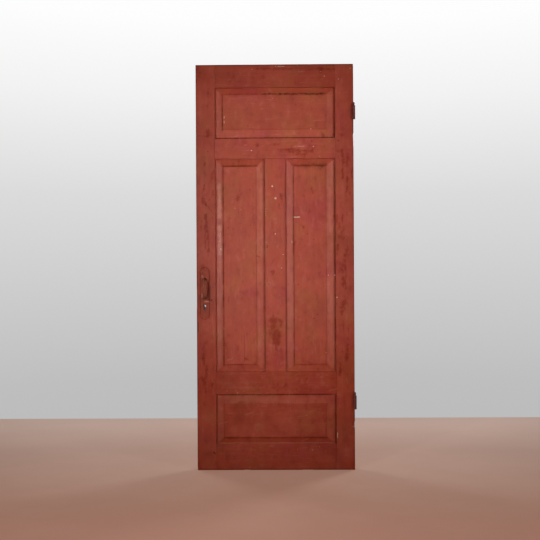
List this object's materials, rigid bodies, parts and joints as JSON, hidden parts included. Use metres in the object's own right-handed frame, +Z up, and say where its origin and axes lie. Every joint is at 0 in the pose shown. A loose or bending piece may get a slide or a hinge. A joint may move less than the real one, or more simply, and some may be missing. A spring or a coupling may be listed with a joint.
{
  "type": "antique panelled door leaf",
  "caption": "Old red-painted panelled wooden door leaf with raised panels, lift-off hinge halves, a bow pull on a long backplate and a mortise lock with a sliding bolt.",
  "frame": {"origin": "centre of the lower hinge's socket, at its mouth", "axes": "+X to the right seen from the front, front face towards -Y, +Z up along the hinge axis"},
  "size_m": [0.8088, 0.0893, 2.06],
  "materials": {
    "painted_wood": "satin, worn brick-red oil paint",
    "painted_iron": "satin, painted over and rubbed",
    "bare_iron": "dark, hand-rubbed and rusty",
    "lock_steel": "dull"
  },
  "bodies": {
    "leaf": {"lock_stile": "painted_wood", "hanging_stile": "painted_wood", "top_rail": "painted_wood", "frieze_rail": "painted_wood", "lock_rail": "painted_wood", "bottom_rail": "painted_wood", "muntin": "painted_wood", "panel_top": "painted_wood", "panel_left": "painted_wood", "panel_right": "painted_wood", "panel_bottom": "painted_wood", "tenon_wedges": "painted_wood", "hinge_lower": "painted_iron", "hinge_upper": "painted_iron", "hinge_screws": "painted_iron", "backplate_front": "painted_iron", "backplate_rear": "painted_iron", "backplate_screws_front": "painted_iron", "backplate_screws_rear": "painted_iron", "pull": "bare_iron", "lock_case": "lock_steel", "lock_cap": "lock_steel", "cap_screws": "lock_steel", "lock_faceplate": "bare_iron", "faceplate_screws": "bare_iron", "faceplate_rivets": "lock_steel", "bolt_stump": "lock_steel", "bolt_spring": "lock_steel", "ward_ring": "lock_steel"},
    "bolt": {"deadbolt": "bare_iron"}
  },
  "joints": [
    {"name": "bolt_throw", "type": "slide", "parent": "leaf", "child": "bolt", "axis": [-1, 0, 0], "range_m": [0, 0.014]}
  ]
}
